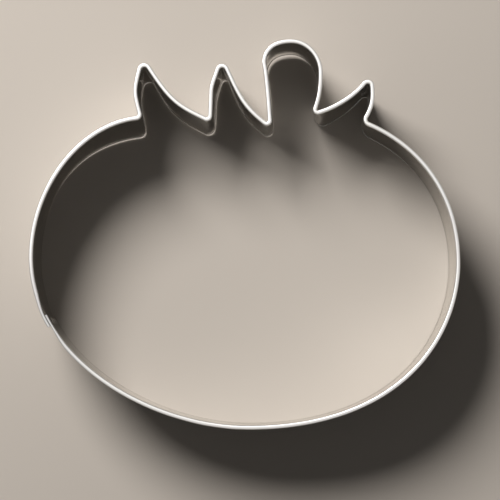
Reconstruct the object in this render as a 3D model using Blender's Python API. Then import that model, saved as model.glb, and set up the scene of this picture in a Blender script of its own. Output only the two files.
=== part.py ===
"""A fruit-shaped cookie cutter, bent from one strip of steel.

The strip stands on its cutting edge, at z = 0. Its upper rim is folded outward into a round roll that a hand
can press on. The ends of the strip lap at the lower left, where the roll is pressed flat, and a column of
spot welds goes through both layers. Seen from above, the outline is a wide round body with a crown of three
pointed leaves and one round stem. The bends are tight at the rim and rounder at the cutting edge.

+X is to the right, +Y is towards the stem, and the origin is in the middle of the outline, on the table.
"""

from collections import namedtuple
from math import acos, atan2, cos, pi, radians, sin, tan

import bmesh
import bpy
import numpy as np
from mathutils import Vector

MM = 0.001

# The strip
SHEET = 0.25 * MM
STRIP_HEIGHT = 25.4 * MM
ROLL_GAP = 0.5 * MM
FOLD_DEPTH = 3.2 * MM
FOOT_GAP = 0.1 * MM
RIM_WIDTH = 2 * SHEET + ROLL_GAP

# The outline's own box, over the outer sides of the rolled rim
OVERALL_WIDTH = 101.6 * MM
OVERALL_DEPTH = 92.1 * MM

# The round body is four curves between its leftmost, rightmost and lowest points and the crown's two ends.
# Each reach is the length of a curve's handle there.
LEFTMOST_DROP = 5.4 * MM
RIGHTMOST_DROP = 6.7 * MM
LOWEST_ACROSS = 0.8 * MM
LEFT_REACH_UP = 16.0 * MM
LEFT_REACH_DOWN = 24.2 * MM
RIGHT_REACH_UP = 14.9 * MM
RIGHT_REACH_DOWN = 15.8 * MM
LOWEST_REACH_LEFT = 22.4 * MM
LOWEST_REACH_RIGHT = 37.9 * MM
LEFT_SHOULDER_REACH = 14.6 * MM
RIGHT_SHOULDER_REACH = 15.6 * MM
LEFT_SHOULDER_SLOPE = 4.6
RIGHT_SHOULDER_SLOPE = -21.6

# The same curves at the cutting edge, where they differ: the left side leans out a little
LEFT_SHOULDER_EDGE_REACH = 17.8 * MM
LEFT_SHOULDER_EDGE_SLOPE = 5.6
LEFTMOST_EDGE_SPREAD = 0.4 * MM

# The crown is drawn on a grid of this pitch, so that it can be made larger or smaller than the body. Every
# number below that isn't a slope in degrees is in steps of the grid, and none includes the rim's own width.
CROWN_GRID = 1.0 * MM

# The crown's bends, from left to right, on the rim's middle line. across is from the middle of the outline
# and drop is down from the top of the stem, both to where the two sides would meet. radius is that of the
# bend's tight side. The edge values are how far that corner has moved at the cutting edge, and the radius of
# the bend there.
Bend = namedtuple("Bend", "across drop radius edge_across edge_drop edge_radius")
LEFT_SHOULDER = Bend(-24.5, 18.1, 0.35, -0.3, 1.75, 0.6)
LEFT_LEAF_TIP = Bend(-24.15, 3.85, 0.7, -0.3, -2.3, 1.6)
LEFT_VALLEY = Bend(-8.15, 18.9, 0.3, -0.05, 1.1, 0.7)
MIDDLE_LEAF_TIP = Bend(-5.4, 3.75, 0.65, 0.3, -1.0, 1.0)
MIDDLE_VALLEY = Bend(6.1, 20.45, 0.25, 0.25, 0.35, 0.4)
STEM_LEFT_BEND = Bend(4.6, 5.2, 0.95, 0.1, 0.0, 1.0)
STEM_VALLEY = Bend(16.45, 17.15, 0.3, 0.3, 1.1, 1.5)
RIGHT_LEAF_TIP = Bend(29.6, 7.55, 0.2, 0.7, -0.8, 0.4)
RIGHT_SHOULDER = Bend(28.0, 19.15, 0.6, 0.1, 0.0, 1.6)
# The most of a side that one bend may take
LONGEST_SETBACK = 0.4

# The sides between the bends, named by where they run. bow is how far the middle of the side stands to the
# left of travel, and edge_bow is what that gains at the cutting edge. lean moves the bow along the side and
# fullness straightens the side's ends.
Side = namedtuple("Side", "bow edge_bow lean fullness")
LEFT_LEAF_RISE = Side(0.87, 0.0, -0.06, 1.11)
LEFT_LEAF_FALL = Side(-1.56, -0.6, 0.07, 0.94)
MIDDLE_LEAF_RISE = Side(0.5, 0.0, 0.01, 1.37)
MIDDLE_LEAF_FALL = Side(-1.16, -0.2, 0.11, 0.97)
STEM_RISE = Side(-0.3, 0.0, 0.38, 0.49)
RIGHT_LEAF_RISE = Side(-2.34, 0.0, 0.15, 0.51)
RIGHT_LEAF_FALL = Side(1.22, 0.0, 0.07, 0.78)

# The stem's round end, from its left bend over the top and down its right side to the stem's valley. Each
# reach is the length of a curve's handle, and at the cutting edge the stem is a little larger all round.
Stem = namedtuple(
    "Stem",
    "start_slope start_reach top_across left_reach right_reach side_across side_drop up_reach down_reach"
    " end_slope end_reach edge_spread",
)
STEM = Stem(
    start_slope=89.5,
    start_reach=1.85,
    top_across=11.15,
    left_reach=5.55,
    right_reach=3.75,
    side_across=18.0,
    side_drop=7.5,
    up_reach=4.0,
    down_reach=6.45,
    end_slope=-96.6,
    end_reach=2.1,
    edge_spread=0.3,
)

# The lap and its spot welds. The lap's middle is this far down the strip from the leftmost point.
LAP_PLACE = 15.8 * MM
LAP_GAP = 0.1 * MM
LAP_OUTWARD = 0.05 * MM
LAP_EASE = 6.5 * MM
PRESSED_GAP = 0.05 * MM
NEST_RISE = 1.2 * MM
WELD_COUNT = 3
WELD_DIAMETER = 1.5 * MM
WELD_CLEARANCE = 0.3 * MM
WELD_MARGIN = 0.35 * MM
WELD_INSET = 4.5 * MM
WELD_DIMPLE = 0.04 * MM
WELD_DIMPLE_SHARE = 0.6
PRESSED_WIDTH = 2 * SHEET + PRESSED_GAP
WELD_HOLE_RADIUS = WELD_DIAMETER / 2 + WELD_CLEARANCE
LAP_LENGTH = 2 * (WELD_HOLE_RADIUS + WELD_MARGIN)

# Steps of the mesh
CURVE_POINTS = 60
BODY_STEPS = 15
BEND_STEPS = 6
SIDE_STEPS = 5
STEM_STEPS = 7
LAP_STEPS = 2
EASE_STEPS = 4
ROLL_STEPS = 4
WELD_SIDES = 24
SMOOTH_ANGLE = 40


def clear_scene():
    for thing in list(bpy.data.objects):
        bpy.data.objects.remove(thing)


def metal(name, colour, roughness):
    """A bare metal finish."""
    material = bpy.data.materials.new(name)
    material.use_nodes = True
    shader = material.node_tree.nodes["Principled BSDF"]
    shader.inputs["Base Color"].default_value = (*colour, 1.0)
    shader.inputs["Metallic"].default_value = 1.0
    shader.inputs["Roughness"].default_value = roughness
    return material


def lengths_along(points):
    steps = np.linalg.norm(np.diff(points, axis=0), axis=1)
    return np.concatenate(([0.0], np.cumsum(steps)))


def trim(points, from_start, from_end):
    """The same curve, evenly spaced, with a length taken off each end."""
    along = lengths_along(points)
    kept = np.linspace(from_start, along[-1] - from_end, len(points))
    return np.column_stack([np.interp(kept, along, points[:, axis]) for axis in range(2)])


def bezier(start, start_handle, end_handle, end):
    """A cubic curve, evenly spaced."""
    t = np.linspace(0.0, 1.0, CURVE_POINTS)[:, None]
    s = 1 - t
    points = s**3 * start + 3 * s**2 * t * start_handle + 3 * s * t**2 * end_handle + t**3 * end
    return trim(points, 0.0, 0.0)


def bowed(start, end, side, at_edge):
    """One side of the crown."""
    chord = end - start
    left = np.array((-chord[1], chord[0])) / np.linalg.norm(chord)
    bow = (side.bow + side.edge_bow * at_edge) * CROWN_GRID
    pull = (start + end) / 2 + 2 * bow * left + side.lean * chord
    return bezier(start, start + side.fullness * (pull - start), end + side.fullness * (pull - end), end)


def direction(slope):
    """The unit vector at a slope in degrees."""
    return np.array((cos(radians(slope)), sin(radians(slope))))


def heading(points, at_end):
    step = points[-1] - points[-2] if at_end else points[1] - points[0]
    return step / np.linalg.norm(step)


def turn_between(before, after):
    return acos(max(-1.0, min(1.0, float(heading(before, True) @ heading(after, False)))))


def bend_curve(before, after):
    """The round bend that joins two trimmed sides."""
    turn = turn_between(before, after)
    radius = np.linalg.norm(after[0] - before[-1]) / 2 / sin(turn / 2)
    reach = 4 / 3 * tan(turn / 4) * radius
    return bezier(
        before[-1],
        before[-1] + reach * heading(before, True),
        after[0] - reach * heading(after, False),
        after[0],
    )


def crown_corner(bend, at_edge):
    """Where the two sides of a bend meet, at the rim or at the cutting edge."""
    across = bend.across + bend.edge_across * at_edge
    drop = bend.drop + bend.edge_drop * at_edge
    return np.array((across * CROWN_GRID, (OVERALL_DEPTH - RIM_WIDTH) / 2 - drop * CROWN_GRID))


def stem_end(start, end, at_edge):
    """The three curves over the stem's round end."""
    spread = STEM.edge_spread * at_edge * CROWN_GRID
    half_depth = (OVERALL_DEPTH - RIM_WIDTH) / 2
    top = np.array((STEM.top_across * CROWN_GRID, half_depth + spread))
    side = np.array((STEM.side_across * CROWN_GRID + spread, half_depth - STEM.side_drop * CROWN_GRID))
    right, up = CROWN_GRID * np.array((1.0, 0.0)), CROWN_GRID * np.array((0.0, 1.0))
    start_handle = start + STEM.start_reach * CROWN_GRID * direction(STEM.start_slope)
    end_handle = end - STEM.end_reach * CROWN_GRID * direction(STEM.end_slope)
    return (
        bezier(start, start_handle, top - STEM.left_reach * right, top),
        bezier(top, top + STEM.right_reach * right, side + STEM.up_reach * up, side),
        bezier(side, side - STEM.down_reach * up, end_handle, end),
    )


def outline(at_edge):
    """The closed outline, clockwise from its leftmost point, as (curve, mesh steps) pairs.

    It is the middle line of the rolled rim, or with at_edge the line that has the same sides at the
    cutting edge.
    """
    half_width = (OVERALL_WIDTH - RIM_WIDTH) / 2
    half_depth = (OVERALL_DEPTH - RIM_WIDTH) / 2
    leftmost = np.array((-half_width - LEFTMOST_EDGE_SPREAD * at_edge, -LEFTMOST_DROP))
    rightmost = np.array((half_width, -RIGHTMOST_DROP))
    lowest = np.array((LOWEST_ACROSS, -half_depth))
    right, up = np.array((1.0, 0.0)), np.array((0.0, 1.0))
    bends = (
        LEFT_SHOULDER,
        LEFT_LEAF_TIP,
        LEFT_VALLEY,
        MIDDLE_LEAF_TIP,
        MIDDLE_VALLEY,
        STEM_LEFT_BEND,
        STEM_VALLEY,
        RIGHT_LEAF_TIP,
        RIGHT_SHOULDER,
    )
    corners = [crown_corner(bend, at_edge) for bend in bends]
    shoulder, tip_1, valley_1, tip_2, valley_2, stem_left, valley_3, tip_3, right_shoulder = corners
    shoulder_reach = LEFT_SHOULDER_EDGE_REACH if at_edge else LEFT_SHOULDER_REACH
    shoulder_slope = LEFT_SHOULDER_EDGE_SLOPE if at_edge else LEFT_SHOULDER_SLOPE

    sides = [
        bezier(
            leftmost,
            leftmost + LEFT_REACH_UP * up,
            shoulder - shoulder_reach * direction(shoulder_slope),
            shoulder,
        ),
        bowed(shoulder, tip_1, LEFT_LEAF_RISE, at_edge),
        bowed(tip_1, valley_1, LEFT_LEAF_FALL, at_edge),
        bowed(valley_1, tip_2, MIDDLE_LEAF_RISE, at_edge),
        bowed(tip_2, valley_2, MIDDLE_LEAF_FALL, at_edge),
        bowed(valley_2, stem_left, STEM_RISE, at_edge),
        *stem_end(stem_left, valley_3, at_edge),
        bowed(valley_3, tip_3, RIGHT_LEAF_RISE, at_edge),
        bowed(tip_3, right_shoulder, RIGHT_LEAF_FALL, at_edge),
        bezier(
            right_shoulder,
            right_shoulder + RIGHT_SHOULDER_REACH * direction(RIGHT_SHOULDER_SLOPE),
            rightmost + RIGHT_REACH_UP * up,
            rightmost,
        ),
        bezier(
            rightmost,
            rightmost - RIGHT_REACH_DOWN * up,
            lowest + LOWEST_REACH_RIGHT * right,
            lowest,
        ),
        bezier(
            lowest,
            lowest - LOWEST_REACH_LEFT * right,
            leftmost - LEFT_REACH_DOWN * up,
            leftmost,
        ),
    ]
    steps = [BODY_STEPS] + 5 * [SIDE_STEPS] + 3 * [STEM_STEPS] + 2 * [SIDE_STEPS] + 3 * [BODY_STEPS]
    # The bend at the start of each side. The body's and the stem's own curves meet smoothly and have none.
    at_start = [None, *bends[:6], None, None, *bends[6:], None, None]
    return round_bends(sides, steps, at_start, at_edge)


def round_bends(sides, steps, at_start, at_edge):
    """Trims each side back from its bends, by its longest setback at most, and puts a curve between them."""
    setbacks = []
    for index, bend in enumerate(at_start):
        if bend is None:
            setbacks.append(0.0)
            continue
        radius = (bend.edge_radius if at_edge else bend.radius) * CROWN_GRID + RIM_WIDTH / 2
        setback = radius * tan(turn_between(sides[index - 1], sides[index]) / 2)
        shorter = min(lengths_along(sides[index - 1])[-1], lengths_along(sides[index])[-1])
        setbacks.append(min(setback, LONGEST_SETBACK * shorter))
    trimmed = [
        trim(side, setbacks[index], setbacks[(index + 1) % len(sides)]) for index, side in enumerate(sides)
    ]
    curves = []
    for index, bend in enumerate(at_start):
        if bend is not None:
            curves.append((bend_curve(trimmed[index - 1], trimmed[index]), BEND_STEPS))
        curves.append((trimmed[index], steps[index]))
    return curves


def spread(first, last, steps):
    """Evenly spaced numbers after first, up to last."""
    return [first + (last - first) * step / steps for step in range(1, steps + 1)]


def strip_stations(rim):
    """(curve number, share along it) pairs, from the strip's outer end, clockwise, to its inner end."""
    last = len(rim) - 1
    length = lengths_along(rim[last][0])[-1]
    # Distances back from the leftmost point, as shares along the last curve
    lap_start = 1 - (LAP_PLACE + LAP_LENGTH / 2) / length
    lap_end = 1 - (LAP_PLACE - LAP_LENGTH / 2) / length
    ease = LAP_EASE / length
    stations = [(last, lap_start)]
    stations += [(last, share) for share in spread(lap_start, lap_end, LAP_STEPS)]
    stations += [(last, share) for share in spread(lap_end, lap_end + ease, EASE_STEPS)]
    left_over = max(1, round(BODY_STEPS * (1 - lap_end - ease)))
    stations += [(last, share) for share in spread(lap_end + ease, 1.0, left_over)]
    for number, (_, steps) in enumerate(rim[:last]):
        stations += [(number, share) for share in spread(0.0, 1.0, steps)]
    up_to_ease = max(1, round(BODY_STEPS * (lap_start - ease)))
    stations += [(last, share) for share in spread(0.0, lap_start - ease, up_to_ease)]
    stations += [(last, share) for share in spread(lap_start - ease, lap_start, EASE_STEPS)]
    stations += [(last, share) for share in spread(lap_start, lap_end, LAP_STEPS)]
    return stations


def points_at(curves, stations):
    """The outline's points at the stations."""
    points = []
    for number, share in stations:
        curve = curves[number][0]
        place = share * (len(curve) - 1)
        points.append([np.interp(place, np.arange(len(curve)), curve[:, axis]) for axis in range(2)])
    return np.array(points)


def outward(points):
    """Unit vectors square to the line, to the left of its clockwise travel."""
    along = np.gradient(points, axis=0)
    steps = np.diff(points, axis=0)
    steps /= np.linalg.norm(steps, axis=1)[:, None]
    along[1:-1] = steps[:-1] + steps[1:]
    along /= np.linalg.norm(along, axis=1)[:, None]
    return np.column_stack((-along[:, 1], along[:, 0]))


def eased(distance):
    """1 over the lap, falling smoothly to 0 where the strip is back on its own line."""
    share = min(1.0, max(0.0, (distance - LAP_LENGTH) / LAP_EASE))
    return 1 - share * share * (3 - 2 * share)


def blend(plain, pressed, share):
    return plain + (pressed - plain) * share


def rim_share(height):
    """How far up the wall's lean a height is: 0 at the cutting edge, 1 from the roll's middle up."""
    return min(1.0, height / (STRIP_HEIGHT - RIM_WIDTH / 2))


def sheet_section(inner_face, roll_gap, foot_gap, nest):
    """The sheet's section as (inner skin, outer skin) pairs of (offset, height), from the cutting edge up
    the wall, round the roll and down the folded-back leg.

    inner_face is the wall's inner face, from the rim's middle line. Below the fold the wall moves by nest.
    """
    fold_foot = STRIP_HEIGHT - FOLD_DEPTH
    outer_radius = SHEET + roll_gap / 2
    roll_height = STRIP_HEIGHT - outer_radius
    roll_middle = inner_face + outer_radius
    pairs = [
        ((inner_face + nest, height), (inner_face + nest + SHEET, height))
        for height in (0.0, fold_foot - NEST_RISE)
    ]
    pairs.append(((inner_face, fold_foot), (inner_face + SHEET, fold_foot)))
    for step in range(ROLL_STEPS + 1):
        angle = pi - pi * step / ROLL_STEPS
        pairs.append(
            tuple(
                (roll_middle + radius * cos(angle), roll_height + radius * sin(angle))
                for radius in (outer_radius, outer_radius - SHEET)
            )
        )
    leg = inner_face + SHEET + foot_gap
    pairs.append(((leg + SHEET, fold_foot), (leg, fold_foot)))
    return pairs


def formed_strip():
    """The bent strip, with the roll on top and the lapped ends."""
    rim, edge = outline(False), outline(True)
    stations = strip_stations(rim)
    rim_points, edge_points = points_at(rim, stations), points_at(edge, stations)
    rim_out, edge_out = outward(rim_points), outward(edge_points)
    from_outer_end = lengths_along(rim_points)
    from_inner_end = from_outer_end[-1] - from_outer_end

    mesh = bmesh.new()
    rows = []
    for number in range(len(stations)):
        at_outer_end, at_inner_end = eased(from_outer_end[number]), eased(from_inner_end[number])
        at_end = max(at_outer_end, at_inner_end)
        inner_face = -RIM_WIDTH / 2
        inner_face = blend(inner_face, LAP_OUTWARD + LAP_GAP / 2, at_outer_end)
        inner_face = blend(inner_face, LAP_OUTWARD - LAP_GAP / 2 - PRESSED_WIDTH, at_inner_end)
        section = sheet_section(
            inner_face,
            blend(ROLL_GAP, PRESSED_GAP, at_end),
            blend(FOOT_GAP, PRESSED_GAP, at_end),
            (SHEET - PRESSED_WIDTH) * at_outer_end,
        )
        row = []
        for pair in section:
            for offset, height in pair:
                at_base = edge_points[number] + offset * edge_out[number]
                at_top = rim_points[number] + offset * rim_out[number]
                place = blend(at_base, at_top, rim_share(height))
                row.append(mesh.verts.new((place[0], place[1], height)))
        rows.append(row)

    # Round the section: up the inner skin, across the leg's foot, back down the outer skin
    around = list(range(0, len(rows[0]), 2)) + list(range(len(rows[0]) - 1, 0, -2))
    for before, after in zip(rows, rows[1:]):
        for here, there in zip(around, around[1:] + around[:1]):
            mesh.faces.new((before[here], before[there], after[there], after[here]))
    for row in (rows[0], rows[-1]):
        for skin in range(0, len(row) - 2, 2):
            mesh.faces.new((row[skin], row[skin + 1], row[skin + 3], row[skin + 2]))
    bmesh.ops.recalc_face_normals(mesh, faces=mesh.faces)
    return finished("formed_strip", mesh, metal("tinned_steel", (0.78, 0.77, 0.75), 0.25))


def finished(name, mesh, material):
    """Makes the object of a mesh, with smooth shading and its material."""
    data = bpy.data.meshes.new(name)
    mesh.to_mesh(data)
    mesh.free()
    data.shade_smooth()
    data.set_sharp_from_angle(angle=radians(SMOOTH_ANGLE))
    data.materials.append(material)
    thing = bpy.data.objects.new(name, data)
    bpy.context.scene.collection.objects.link(thing)
    return thing


def lap_frame():
    """The middle of the two welded layers, at the lap, as (point, outward) for the height of a weld."""
    rim, edge = outline(False), outline(True)
    last = len(rim) - 1
    length = lengths_along(rim[last][0])[-1]
    lap_share = 1 - LAP_PLACE / length
    nearby = LAP_LENGTH / 2 / length
    stations = [(last, lap_share + step * nearby) for step in (-1, 0, 1)]
    layers_middle = LAP_OUTWARD + SHEET - PRESSED_WIDTH
    rim_points, edge_points = points_at(rim, stations), points_at(edge, stations)
    rim_out, edge_out = outward(rim_points)[1], outward(edge_points)[1]

    def at_height(height):
        share = rim_share(height)
        out = blend(edge_out, rim_out, share)
        point = blend(edge_points[1], rim_points[1], share) + layers_middle * out
        return Vector((*point, height)), Vector((*out, 0.0)).normalized()

    return at_height


def turned(name, profile, material):
    """A closed solid turned round the local Z axis from (radius, height) points, first and last on it."""
    mesh = bmesh.new()
    rings = []
    for radius, height in profile:
        if radius == 0:
            rings.append([mesh.verts.new((0, 0, height))])
            continue
        ring = []
        for side in range(WELD_SIDES):
            angle = 2 * pi * side / WELD_SIDES
            ring.append(mesh.verts.new((radius * cos(angle), radius * sin(angle), height)))
        rings.append(ring)
    for lower, upper in zip(rings, rings[1:]):
        for side in range(WELD_SIDES):
            following = (side + 1) % WELD_SIDES
            corners = [lower[side % len(lower)], lower[following % len(lower)]]
            corners += [upper[following % len(upper)], upper[side % len(upper)]]
            mesh.faces.new(list(dict.fromkeys(corners)))
    bmesh.ops.recalc_face_normals(mesh, faces=mesh.faces)
    return finished(name, mesh, material)


def spot_weld(name, centre, out):
    """The slug of fused metal that holds both layers, dimpled on each face."""
    radius = WELD_DIAMETER / 2
    half = SHEET + LAP_GAP / 2
    dimple = WELD_DIMPLE_SHARE * radius
    profile = (
        (0, WELD_DIMPLE - half),
        (dimple, WELD_DIMPLE - half),
        (radius, -half),
        (radius, half),
        (dimple, half - WELD_DIMPLE),
        (0, half - WELD_DIMPLE),
    )
    weld = turned(name, profile, metal(name + "_steel", (0.6, 0.6, 0.61), 0.42))
    place_on_lap(weld, centre, out)
    return weld


def place_on_lap(thing, centre, out):
    """Turns local Z to face out of the lap."""
    thing.location = centre
    thing.rotation_euler = (pi / 2, 0, atan2(out.y, out.x) + pi / 2)


def cut_weld_hole(strip, name, centre, out):
    """A round hole through both layers, a clearance wider than the weld."""
    depth = PRESSED_WIDTH + LAP_GAP
    profile = ((0, -depth), (WELD_HOLE_RADIUS, -depth), (WELD_HOLE_RADIUS, depth), (0, depth))
    cutter = turned(name, profile, metal(name, (0.8, 0.2, 0.1), 0.5))
    place_on_lap(cutter, centre, out)
    cutter.hide_render = True
    cutter.display_type = "WIRE"
    cut = strip.modifiers.new(name, "BOOLEAN")
    cut.operation = "DIFFERENCE"
    cut.object = cutter
    return cutter


def main():
    clear_scene()
    cutter_frame = bpy.data.objects.new("cookie_cutter", None)
    bpy.context.scene.collection.objects.link(cutter_frame)
    strip = formed_strip()
    strip.parent = cutter_frame
    at_height = lap_frame()
    lowest = WELD_INSET
    highest = STRIP_HEIGHT - FOLD_DEPTH - NEST_RISE - WELD_INSET
    for number in range(WELD_COUNT):
        share = number / max(1, WELD_COUNT - 1)
        centre, out = at_height(blend(lowest, highest, share))
        hole = cut_weld_hole(strip, f"weld_hole_{number + 1}", centre, out)
        weld = spot_weld(f"spot_weld_{number + 1}", centre, out)
        hole.parent = cutter_frame
        weld.parent = cutter_frame


main()
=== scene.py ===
"""The looks of a fruit-shaped cookie cutter, bent from one strip of bright steel.

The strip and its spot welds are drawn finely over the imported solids. The rolled rim is flatter on top than a
round one, the leg below it has its own cut foot, and the walls aren't quite flat. The cutting edge stands on
three points of the table, with thin gaps between them that let light through. All lengths are in metres.
"""

from collections import namedtuple
from math import acos, cos, pi, radians, sin, sqrt, tan

import bmesh
import bpy
import numpy as np
from mathutils import Matrix, Vector, noise


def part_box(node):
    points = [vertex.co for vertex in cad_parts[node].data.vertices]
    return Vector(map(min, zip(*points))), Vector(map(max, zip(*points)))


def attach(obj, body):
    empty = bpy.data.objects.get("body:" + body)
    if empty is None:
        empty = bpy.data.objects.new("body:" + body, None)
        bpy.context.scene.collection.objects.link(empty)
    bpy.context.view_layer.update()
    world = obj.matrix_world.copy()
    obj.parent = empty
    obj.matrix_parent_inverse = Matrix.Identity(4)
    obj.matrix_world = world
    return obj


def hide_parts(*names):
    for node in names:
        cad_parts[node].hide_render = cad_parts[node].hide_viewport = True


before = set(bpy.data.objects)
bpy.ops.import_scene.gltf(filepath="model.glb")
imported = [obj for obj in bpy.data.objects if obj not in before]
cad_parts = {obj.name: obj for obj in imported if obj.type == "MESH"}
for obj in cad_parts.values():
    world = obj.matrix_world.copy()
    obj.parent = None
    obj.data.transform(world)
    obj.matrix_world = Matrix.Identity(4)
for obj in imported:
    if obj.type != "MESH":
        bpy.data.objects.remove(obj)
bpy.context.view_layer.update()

MM = 0.001

# The strip, with its overall sizes read from the frame
STRIP_LOW, STRIP_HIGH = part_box("formed_strip")
OVERALL_WIDTH = STRIP_HIGH.x - STRIP_LOW.x
OVERALL_DEPTH = STRIP_HIGH.y - STRIP_LOW.y
STRIP_HEIGHT = STRIP_HIGH.z - STRIP_LOW.z
SHEET = 0.25 * MM
ROLL_GAP = 0.5 * MM
FOLD_DEPTH = 3.2 * MM
FOOT_GAP = 0.1 * MM
RIM_WIDTH = 2 * SHEET + ROLL_GAP

# The round body is four curves between its leftmost, rightmost and lowest points and the crown's two ends.
# Each reach is the length of a curve's handle there.
LEFTMOST_DROP = 5.4 * MM
RIGHTMOST_DROP = 6.7 * MM
LOWEST_ACROSS = 0.8 * MM
LEFT_REACH_UP = 16.0 * MM
LEFT_REACH_DOWN = 24.2 * MM
RIGHT_REACH_UP = 14.9 * MM
RIGHT_REACH_DOWN = 15.8 * MM
LOWEST_REACH_LEFT = 22.4 * MM
LOWEST_REACH_RIGHT = 37.9 * MM
LEFT_SHOULDER_REACH = 14.6 * MM
RIGHT_SHOULDER_REACH = 15.6 * MM
LEFT_SHOULDER_SLOPE = 4.6
RIGHT_SHOULDER_SLOPE = -21.6
LEFT_SHOULDER_EDGE_REACH = 17.8 * MM
LEFT_SHOULDER_EDGE_SLOPE = 5.6
LEFTMOST_EDGE_SPREAD = 0.4 * MM

# The crown's bends, from left to right, on the rim's middle line. across is from the middle of the outline
# and drop is down from the top of the stem, both to where the two sides would meet. radius is that of the
# bend's tight side. The edge values are how far that corner has moved at the cutting edge, and the radius of
# the bend there. All are in steps of the crown's grid.
CROWN_GRID = 1.0 * MM
Bend = namedtuple("Bend", "across drop radius edge_across edge_drop edge_radius")
LEFT_SHOULDER = Bend(-24.5, 18.1, 0.35, -0.3, 1.75, 0.6)
LEFT_LEAF_TIP = Bend(-24.15, 3.85, 0.7, -0.3, -2.3, 1.6)
LEFT_VALLEY = Bend(-8.15, 18.9, 0.3, -0.05, 1.1, 0.7)
MIDDLE_LEAF_TIP = Bend(-5.4, 3.75, 0.65, 0.3, -1.0, 1.0)
MIDDLE_VALLEY = Bend(6.1, 20.45, 0.25, 0.25, 0.35, 0.4)
STEM_LEFT_BEND = Bend(4.6, 5.2, 0.95, 0.1, 0.0, 1.0)
STEM_VALLEY = Bend(16.45, 17.15, 0.3, 0.3, 1.1, 1.5)
RIGHT_LEAF_TIP = Bend(29.6, 7.55, 0.2, 0.7, -0.8, 0.4)
RIGHT_SHOULDER = Bend(28.0, 19.15, 0.6, 0.1, 0.0, 1.6)
# The most of a side that a bend takes, as a share of it
LONGEST_SETBACK = 0.4

# The sides between the bends. bow is how far the middle of the side stands to the left of travel, and
# edge_bow is what that gains at the cutting edge. lean moves the bow along the side and fullness straightens
# the side's ends.
Side = namedtuple("Side", "bow edge_bow lean fullness")
LEFT_LEAF_RISE = Side(0.87, 0.0, -0.06, 1.11)
LEFT_LEAF_FALL = Side(-1.56, -0.6, 0.07, 0.94)
MIDDLE_LEAF_RISE = Side(0.5, 0.0, 0.01, 1.37)
MIDDLE_LEAF_FALL = Side(-1.16, -0.2, 0.11, 0.97)
STEM_RISE = Side(-0.3, 0.0, 0.38, 0.49)
RIGHT_LEAF_RISE = Side(-2.34, 0.0, 0.15, 0.51)
RIGHT_LEAF_FALL = Side(1.22, 0.0, 0.07, 0.78)

# The stem's round end, with the slopes and handles of its three curves
Stem = namedtuple(
    "Stem",
    "start_slope start_reach top_across left_reach right_reach side_across side_drop up_reach down_reach"
    " end_slope end_reach edge_spread",
)
STEM = Stem(
    start_slope=89.5,
    start_reach=1.85,
    top_across=11.15,
    left_reach=5.55,
    right_reach=3.75,
    side_across=18.0,
    side_drop=7.5,
    up_reach=4.0,
    down_reach=6.45,
    end_slope=-96.6,
    end_reach=2.1,
    edge_spread=0.3,
)

# The lap and its spot welds
LAP_PLACE = 15.8 * MM
LAP_GAP = 0.1 * MM
LAP_OUTWARD = 0.05 * MM
LAP_EASE = 6.5 * MM
LAP_LENGTH = 2.8 * MM
PRESSED_GAP = 0.05 * MM
PRESSED_WIDTH = 2 * SHEET + PRESSED_GAP
# The outer end's roll is less flat than the inner end's, and nearer to it than the walls below the fold
OUTER_ROLL_GAP = 0.23 * MM
ROLL_CLOSING = 0.08 * MM
NEST_RISE = 2.4 * MM
WELD_NODES = ("spot_weld_1", "spot_weld_2", "spot_weld_3")
WELD_RADIUS = 0.75 * MM
WELD_HOLE_RADIUS = 0.76 * MM
WELD_DISH = 0.06 * MM
WELD_COLLAR = 0.025 * MM
WELD_LIP = 0.12 * MM

# A weld's face, from its middle outward. The dish is in shares of the radius and of the dish's depth, the
# shoulder in shares of the radius and of the collar's height, and the lip in shares of its own width and of
# the collar's height.
WELD_DISH_SHAPE = ((0.0, 1.0), (0.35, 0.97), (0.6, 0.8), (0.78, 0.35))
WELD_SHOULDER = (0.9, 0.6)
WELD_LIP_SHAPE = ((0.0, 1.0), (0.5, 0.75), (0.9, 0.35), (1.0, 0.0))

# How far the cutting edge stands off the table, at each bend and at each joint of two curves. It rests at
# the leftmost and the lowest points of the body and at the tip of the right leaf.
LIFTS = {
    "leftmost": 0.0,
    "left shoulder": 0.55 * MM,
    "left leaf tip": 0.35 * MM,
    "left valley": 0.6 * MM,
    "middle leaf tip": 0.5 * MM,
    "middle valley": 0.5 * MM,
    "stem left bend": 0.8 * MM,
    "stem top": 1.15 * MM,
    "stem side": 0.9 * MM,
    "stem valley": 0.4 * MM,
    "right leaf tip": 0.0,
    "right shoulder": 0.35 * MM,
    "rightmost": 0.2 * MM,
    "lowest": 0.0,
}

# The roll's section is round with a flatness of 1, and flatter on top with less
ROLL_FLATNESS = 0.6

# Small irregularities of the forming. A seed is the height in the noise that one of them is read at.
WALL_WAVE = 0.07 * MM
WALL_WAVE_LENGTH = 11.0 * MM
WALL_WAVE_SEED = 1.0
WALL_RIPPLE = 0.015 * MM
WALL_RIPPLE_LENGTH = 3.5 * MM
WALL_RIPPLE_SEED = 5.0
WALL_RIPPLE_SEED_RISE = 3.0
ROLL_WAVE = 0.03 * MM
ROLL_WAVE_LENGTH = 6.0 * MM
ROLL_WAVE_SEED = 2.0
FOOT_WAVE = 0.05 * MM
FOOT_WAVE_LENGTH = 8.0 * MM
FOOT_WAVE_SEED = 3.0
FOOT_RISE = 0.12 * MM
FOOT_RISE_SEED = 4.0

# The cut ends of the sheet. Shearing left a burr on the cutting edge's inner side and a rollover on its
# outer side. The burr grows from the body's to the crown's between two places along Y.
BODY_BURR = 0.05 * MM
CROWN_BURR = 0.13 * MM
BURR_FROM = 8.0 * MM
BURR_TO = 22.0 * MM
ROLLOVER = 0.14 * MM
CUT_RISE = 0.18 * MM
EDGE_RADIUS = 0.02 * MM
FOOT_RADIUS = 0.05 * MM

# Stretch marks at the sharp bends. A turn of SHARP_TURN within about MARK_REACH has them fully.
SHARP_TURN = radians(60)
MARK_REACH = 0.9 * MM

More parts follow.
